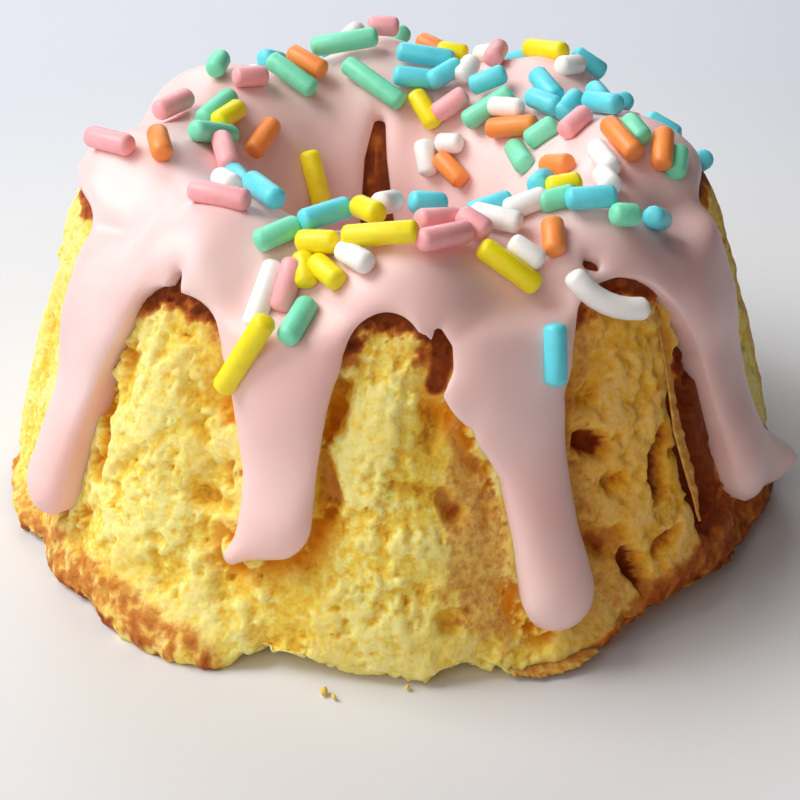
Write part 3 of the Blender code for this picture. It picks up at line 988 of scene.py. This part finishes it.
# %% Icing material
icing_material, tree = new_material("poured_sugar_icing_pink")
coordinates = add_node(tree, "TexCoord").outputs["Object"]
blush = add_node(tree, "TexNoise", {"Vector": coordinates, "Scale": 1 / (12 * MM),
                                    "Detail": 2.0}).outputs["Fac"]
icing_colour = ramp(tree, blush, ((0.3, "F2C5C0"), (0.7, "F8D8D5")))
skin_noise = add_node(tree, "TexNoise", {"Vector": coordinates, "Scale": 1 / (1.6 * MM),
                                         "Detail": 3.0}).outputs["Fac"]
skin_bump = add_node(tree, "Bump", {"Height": skin_noise, "Strength": 0.15,
                                    "Distance": 0.12 * MM}).outputs[0]
skin_rough = add_node(tree, "MapRange", {"Value": skin_noise, "To Min": 0.42,
                                         "To Max": 0.52}).outputs[0]
shade(tree, {"Base Color": icing_colour, "Roughness": skin_rough, "IOR": 1.48,
             "Specular IOR Level": 0.7, "Subsurface Weight": 0.55,
             "Subsurface Radius": (1.0, 0.42, 0.34), "Subsurface Scale": 1.5 * MM,
             "Coat Weight": 0.08, "Coat Roughness": 0.33, "Normal": skin_bump})

# %% Icing piece
icing = finish_mesh(icing_bm, "poured_icing", icing_material)
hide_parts("icing")

# %% [markdown]
# ## Sugar rods
#
# The sprinkles are sugar paste, pressed out and cut into rods two millimetres thick, and
# tumbled until the cut ends are a little rounded. One rod is a row of circles, bridged into
# a tube and capped, with a few sides only, because there are many. Each is laid on the
# icing's top face and sinks into it a little.

# %% Rods on the icing
ROD_RADIUS = 0.95
ROD_SIDES = 14
ROD_SINK = 0.35             # share of the rod's radius that is in the icing
# The rings at an end: how far from it each is, in mm, and its share of the radius.
ROD_END = ((0.0, 0.40), (0.09, 0.68), (0.26, 0.90), (0.52, 1.0))


def icing_top(angle, along):
    """A point on the icing's top face, and the ways up the wall and round it from there."""
    def at(a, s):
        inside, width, thick = icing_cover(np.array([a]), np.array([s]))
        rise = EDGE_LIFT + (1 - EDGE_LIFT) * math.sin(
            min(max(inside[0] / width[0], 0), 1) * math.pi / 2)
        return Vector(on_skin(a, np.float64(s), ICING_LIFT + thick[0] * rise,
                              filled_flutes(inside[0], s)))
    reach = 0.8             # the slope is read this far to each side, in mm
    turn = reach / wall(along)[0]
    across = at(angle + turn, along) - at(angle - turn, along)
    up = at(angle, along + reach) - at(angle, along - reach)
    return at(angle, along), up.normalized(), across.normalized()


def add_rod(bm, centre, heading, out, length, bend=0.0):
    """One rod in the bmesh: rings along its heading, bent sideways if asked."""
    side = out.cross(heading).normalized()
    out = heading.cross(side).normalized()
    half = length / 2
    rounding = ROD_END[-1][0]
    ends = [(-half + x, share) for x, share in ROD_END]
    steps = 6 if bend else 1
    inner = [(-half + rounding + (length - 2 * rounding) * i / steps, 1.0)
             for i in range(1, steps)]
    rings = ends + inner + [(-x, share) for x, share in reversed(ends)]
    made = []
    for x, share in rings:
        offset = side * bend * (1 - (x / half) ** 2)
        slope = -2 * bend * x / half**2
        tangent = (heading + side * slope).normalized()
        across = out.cross(tangent).normalized()
        frame_here = Matrix((across, out, tangent)).transposed().to_4x4()
        frame_here.translation = centre + heading * x + offset
        ring = bmesh.ops.create_circle(bm, cap_ends=False, segments=ROD_SIDES,
                                       radius=ROD_RADIUS * share, matrix=frame_here)["verts"]
        made.append(list({edge for vertex in ring for edge in vertex.link_edges}))
    for low_ring, high_ring in zip(made, made[1:]):
        bmesh.ops.bridge_loops(bm, edges=low_ring + high_ring)
    for end in (made[0], made[-1]):
        bmesh.ops.holes_fill(bm, edges=end, sides=0)


# %% [markdown]
# The rods that catch the eye are laid one by one, a colour at a time. For each there is its
# angle in degrees, its place in millimetres from the crest (negative outside, positive towards
# the hole), its heading in degrees from straight up the wall, its length in millimetres, and how
# much it is raised where it lies on other rods. One white rod is curved.

# %% Rods laid one by one
LAID = {
    "yellow": ((-22, -10.5, 32, 8.0, 0.2), (-11, -3, 130, 3.6, 0), (-16, -2.5, 160, 3.0, 0),
               (-14, -0.5, 100, 3.6, 0.6), (-1, -1.4, 98, 6.2, 0.6), (-4, 1.4, 150, 4.0, 1.0),
               (23, -2.8, 133, 5.8, 0.4), (48, 1.5, 130, 3.0, 0), (-113, 5, 95, 4.0, 0.4),
               (-134, 13, 5, 5.6, 0), (166, 8, 140, 4.0, 0.2), (163, 1.5, 85, 3.0, 0.4)),
    "mint": ((-15, -7.8, 10, 4.4, 0), (-24.5, -0.2, 37, 4.0, 0.4), (42, 0.5, 120, 3.2, 0),
             (47, -3.5, 119, 2.6, 0.8), (83, -3.5, 79, 3.2, 0), (-115, 3.7, 90, 5.2, 0),
             (-95, 5, 129, 5.6, 0.2), (-130, 0.5, 60, 3.0, 0.3), (-146, 4, 157, 5.4, 0.6),
             (-168, 1.5, 100, 6.4, 0.8), (-174, 6, 136, 7.0, 0.2), (138, 7, 33, 5.2, 0.3),
             (109, 6.5, 10, 3.2, 0), (107, 9, 93, 5.0, 0), (86, 0, 61, 3.2, 0.4)),
    "pink": ((-19, -4, 6, 4.4, 0.2), (10, -1.4, 62, 5.4, 0.6), (11, 1.2, 65, 4.2, 0.2),
             (18, 0.5, 143, 3.0, 0.8), (-83, -2.3, 48, 5.2, 0.3), (-108, 1, 110, 4.4, 0.4),
             (-83, 6, 80, 5.0, 0.3), (-42, 0.5, 70, 5.4, 0), (-133, 3, 110, 3.4, 0.2),
             (-178, 0, 95, 3.0, 0.9), (154, 7.5, 42, 3.6, 0.7), (150, 1, 160, 4.4, 0.4),
             (98, 4, 140, 3.6, 0.2)),
    "white": ((-23.5, -5.5, 2, 5.8, 0), (-5.5, -2.5, 130, 3.6, 0.2), (0, 3.5, 20, 4.0, 1.0),
              (26, 1.5, 140, 4.4, 0.4), (28, -2, 144, 3.2, 0.6), (36, 1.8, 110, 3.8, 0.2),
              (73, 2, 60, 4.8, 0.3), (57, 0, 50, 4.0, 0.2), (-57, 4.5, 110, 5.0, 0.2),
              (155, -0.5, 110, 2.8, 0.3), (154, 4, 8, 2.8, 0.8), (131, 6.5, 71, 3.4, 0.5),
              (161, 12, 160, 3.4, 0), (150, 10.5, 80, 2.6, 0)),
    "turquoise": ((-38, 3.5, 115, 5.6, 0.6), (-15, 2.0, 40, 4.8, 0.9), (30, 4, 100, 4.0, 0.4),
                  (45, -1.5, 125, 4.2, 0.7),
                  (60, -4.5, 100, 4.6, 0), (50, 4, 60, 4.2, 0.2), (26, -11, 9, 5.0, 0.1),
                  (-64, 6.5, 100, 5.2, 0.4), (170, 3, 87, 5.4, 0.7), (171, 5.5, 87, 4.6, 0.6),
                  (161, 5, 39, 3.6, 1.1), (143, 5, 47, 3.6, 0.9), (127, 3, 104, 4.2, 0.3),
                  (120, 4.6, 78, 3.8, 0.8), (114, 3.2, 148, 3.4, 0.2), (103, 1.5, 70, 4.8, 0.6),
                  (10, 3.5, 80, 3.2, 1.0), (-150, -1, 60, 3.4, 0.2)),
    "orange": ((35, -2, 32, 3.4, 0), (78, 6, 34, 3.4, 0), (82, 1, 59, 5.2, 0.5),
               (83, -2, 83, 4.2, 0.4), (-79, 1, 86, 3.8, 0.2), (-118, 8, 76, 4.6, 0),
               (-154, 3, 152, 4.2, 0.9), (124, 7.5, 57, 5.0, 0.2), (145, 12.5, 117, 3.8, 0)),
}
CURVED_ROD = (39.6, -7.5, 133, 7.1, 0.4, -1.1)      # the last number is its bend, in mm
ROD_COLOURS = {"yellow": "FFEA18", "mint": "82E8C0", "pink": "FFB2B6", "white": "FDFBF6",
               "turquoise": "68E0EE", "orange": "FF984A"}


def rod_material(name, colour):
    """Pressed sugar paste: satin, slightly see-through, with a fine sugar grain."""
    material, tree = new_material("sugar_rod_" + name)
    coordinates = add_node(tree, "TexCoord").outputs["Object"]
    mottle = add_node(tree, "TexNoise", {"Vector": coordinates, "Scale": 1 / (1.1 * MM),
                                         "Detail": 4.0, "Roughness": 0.6}).outputs["Fac"]
    tint = add_node(tree, "HueSaturation", {
        "Color": linear(colour),
        "Value": add_node(tree, "MapRange", {"Value": mottle, "From Min": 0.3, "From Max": 0.7,
                                             "To Min": 0.93, "To Max": 1.05}).outputs[0],
    }).outputs[0]
    grain_bump = add_node(tree, "Bump", {"Height": mottle, "Strength": 0.25,
                                         "Distance": 0.06 * MM}).outputs[0]
    shade(tree, {"Base Color": tint, "Roughness": 0.42, "IOR": 1.5,
                 "Subsurface Weight": 0.3, "Subsurface Radius": (1.0, 0.8, 0.7),
                 "Subsurface Scale": 0.5 * MM, "Normal": grain_bump})
    return material


def rod_line(angle, along, heading, length, raised):
    """Where a rod lies: points along its middle, its centre, direction and way out."""
    here, up, across = icing_top(angle, along)
    out = across.cross(up).normalized()
    if out.dot(Vector((here.x, here.y, 0.0))) < 0 and along < CREST:
        out = -out
    direction = (up * math.cos(heading) + across * math.sin(heading)).normalized()
    centre = here + out * (ROD_RADIUS * (1 - ROD_SINK) + raised)
    line = [centre + direction * length * share for share in (-0.4, -0.2, 0.0, 0.2, 0.4)]
    return line, centre, direction, out


def lay_rod(bm, angle, along, heading, length, raised, bend=0.0):
    """Lay a rod on the icing at this angle and distance along the wall."""
    line, centre, direction, out = rod_line(angle, along, heading, length, raised)
    add_rod(bm, centre, direction, out, length, bend)
    return line


rod_meshes = {name: bmesh.new() for name in LAID}
rod_lines = []
for name, rods in LAID.items():
    for degrees, from_crest, heading, length, raised in rods:
        rod_lines.append(lay_rod(rod_meshes[name], math.radians(degrees), CREST + from_crest,
                                 math.radians(heading), length, raised))
degrees, from_crest, heading, length, raised, bend = CURVED_ROD
lay_rod(rod_meshes["white"], math.radians(degrees), CREST + from_crest, math.radians(heading),
        length, raised, bend)

# %% [markdown]
# More rods fell where the crown's rear half is hidden. They are scattered at random, each in
# a place where it touches none of the others.

# %% Scattered rods
SCATTERED = 20
CLEAR = 2.05                # least distance between middles, in radii of a rod
random.seed(11)
left_to_lay = SCATTERED
while left_to_lay:
    angle, from_crest = math.radians(random.uniform(98, 212)), random.gauss(-3.5, 2.4)
    heading, length = random.uniform(0, math.pi), random.uniform(2.8, 5.6)
    line = rod_line(angle, CREST + from_crest, heading, length, 0.0)[0]
    if all((a - b).length > CLEAR * ROD_RADIUS
           for other in rod_lines for a in line for b in other):
        name = random.choice(("turquoise", "turquoise", "mint", "orange", "pink", "white",
                              "yellow"))
        rod_lines.append(lay_rod(rod_meshes[name], angle, CREST + from_crest, heading, length, 0))
        left_to_lay -= 1
print(len(rod_lines) + 1, "rods laid")

for name, bm in rod_meshes.items():
    bmesh.ops.recalc_face_normals(bm, faces=bm.faces)
    rods = finish_mesh(bm, "rods_" + name, rod_material(name, ROD_COLOURS[name]))

# %% [markdown]
# ## The table
#
# A plain pale table stands in for whatever the cake is served on. It is a neutral white close
# to the cake and turns to a cooler, paler blue grey further off, as a plate on a table would.

# %% Table
TABLE_RADIUS = 1.5          # metres
table_bm = bmesh.new()
bmesh.ops.create_circle(table_bm, cap_ends=True, segments=96, radius=TABLE_RADIUS)
table_mesh = bpy.data.meshes.new("table")
table_bm.to_mesh(table_mesh)
table_bm.free()
table_material, tree = new_material("pale_table")
coordinates = add_node(tree, "TexCoord").outputs["Object"]
far = add_node(tree, "VectorMath", {0: coordinates}, operation="LENGTH").outputs["Value"]
shift = add_node(tree, "MapRange", {"Value": far, "From Min": 0.062, "From Max": 0.115},
                 interpolation_type="SMOOTHSTEP").outputs[0]
table_colour = ramp(tree, shift, ((0.0, "DFDFE0"), (1.0, "D4D7DE")))
shade(tree, {"Base Color": table_colour, "Roughness": 0.5, "Specular IOR Level": 0.2})
table_mesh.materials.append(table_material)
table = bpy.data.objects.new("table", table_mesh)
bpy.context.collection.objects.link(table)
print("table %.1f m across" % (2 * TABLE_RADIUS))

# %% [markdown]
# ## Light
#
# The light is a large window high on the left, so the right side falls into shade. Weaker
# panels stand for the pale room on the other sides, which lifts the shadows a little.


# %% Lights
def add_panel(name, place, size, power, colour):
    """A square light panel that faces the cake."""
    data = bpy.data.lights.new(name, "AREA")
    data.shape = "SQUARE"
    data.size = size
    data.energy = power
    data.color = linear(colour)[:3]
    panel = bpy.data.objects.new(name, data)
    bpy.context.collection.objects.link(panel)
    panel.location = place
    way = Vector((0, 0, 0.015)) - Vector(place)         # to the middle of the cake
    panel.rotation_euler = way.to_track_quat("-Z", "Y").to_euler()
    print(name, power, "W")


add_panel("window", (-0.45, 0.03, 0.54), 0.45, 4.9, "FFFFFF")
add_panel("room_behind", (-0.06, 0.48, 0.31), 0.40, 1.25, "F6F9FF")
add_panel("room_left", (-0.30, -0.40, 0.35), 0.40, 0.85, "FFFFFF")
add_panel("room_front", (0.0, -0.50, 0.25), 0.40, 0.52, "FFE6D4")

world = bpy.data.worlds.new("surroundings")
bpy.context.scene.world = world
world.use_nodes = True
glow = world.node_tree.nodes["Background"]
glow.inputs["Color"].default_value = linear("DCE1EA")
glow.inputs["Strength"].default_value = 0.04
